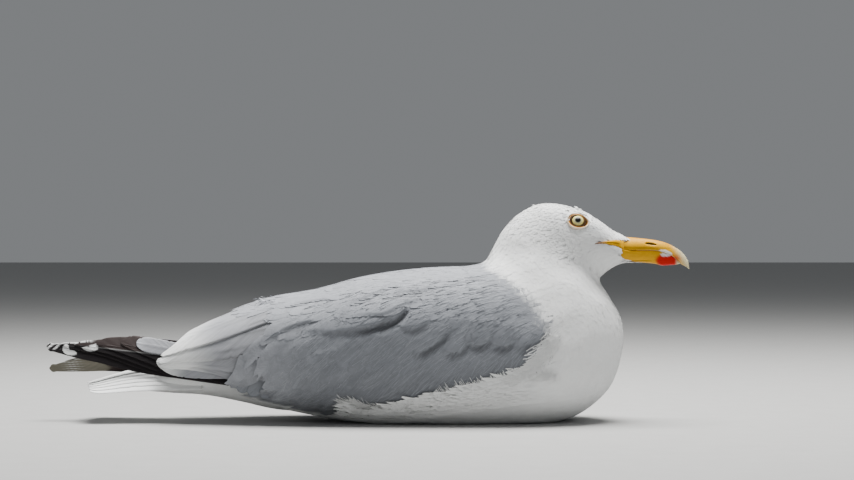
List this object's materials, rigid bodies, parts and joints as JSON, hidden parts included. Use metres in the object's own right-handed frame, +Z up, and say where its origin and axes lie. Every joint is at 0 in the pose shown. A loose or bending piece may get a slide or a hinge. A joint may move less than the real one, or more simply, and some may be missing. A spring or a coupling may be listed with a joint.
{
  "type": "resting adult herring gull, still life-size model",
  "caption": "Adult herring gull lying with its feet tucked under its belly, head raised and wings folded: white with a pearl-grey back, black wing points and a yellow bill with a red spot.",
  "frame": {"origin": "on the floor, under the middle of the bird's box", "axes": "+X the way the bill points, +Y the bird's left, +Z up"},
  "size_m": [0.526, 0.1492, 0.1781],
  "materials": {
    "white_plumage": "soft white feathers",
    "grey_plumage": "soft pearl-grey feathers, white at the tips of the tertials",
    "black_plumage": "smooth black-brown feathers with white spots",
    "bill": "waxy yellow horn with a red spot",
    "eye": "wet gloss, pale iris and black pupil",
    "legs": "scaly pink skin"
  },
  "bodies": {
    "root": {"head": "white_plumage", "neck": "white_plumage", "breast": "white_plumage", "trunk": "white_plumage", "rump": "white_plumage", "flank_right": "white_plumage", "flank_left": "white_plumage", "uppertail_coverts": "white_plumage", "undertail_coverts": "white_plumage", "tail_feather_right_1": "white_plumage", "tail_feather_right_2": "white_plumage", "tail_feather_right_3": "white_plumage", "tail_feather_right_4": "white_plumage", "tail_feather_right_5": "white_plumage", "tail_feather_right_6": "white_plumage", "tail_feather_left_1": "white_plumage", "tail_feather_left_2": "white_plumage", "tail_feather_left_3": "white_plumage", "tail_feather_left_4": "white_plumage", "tail_feather_left_5": "white_plumage", "tail_feather_left_6": "white_plumage", "mantle": "grey_plumage", "scapulars_right": "grey_plumage", "scapulars_left": "grey_plumage", "wing_coverts_right": "grey_plumage", "wing_coverts_left": "grey_plumage", "secondaries_right": "grey_plumage", "secondaries_left": "grey_plumage", "tertial_right_1": "grey_plumage", "tertial_right_2": "grey_plumage", "tertial_right_3": "grey_plumage", "tertial_right_4": "grey_plumage", "tertial_right_5": "grey_plumage", "tertial_left_1": "grey_plumage", "tertial_left_2": "grey_plumage", "tertial_left_3": "grey_plumage", "tertial_left_4": "grey_plumage", "tertial_left_5": "grey_plumage", "primary_right_10": "black_plumage", "primary_right_9": "black_plumage", "primary_right_8": "black_plumage", "primary_right_7": "black_plumage", "primary_right_6": "black_plumage", "primary_left_10": "black_plumage", "primary_left_9": "black_plumage", "primary_left_8": "black_plumage", "primary_left_7": "black_plumage", "primary_left_6": "black_plumage", "bill_upper": "bill", "bill_lower": "bill", "eye_right": "eye", "eye_left": "eye", "tarsus_right": "legs", "tarsus_left": "legs", "foot_right": "legs", "foot_left": "legs"}
  },
  "joints": []
}
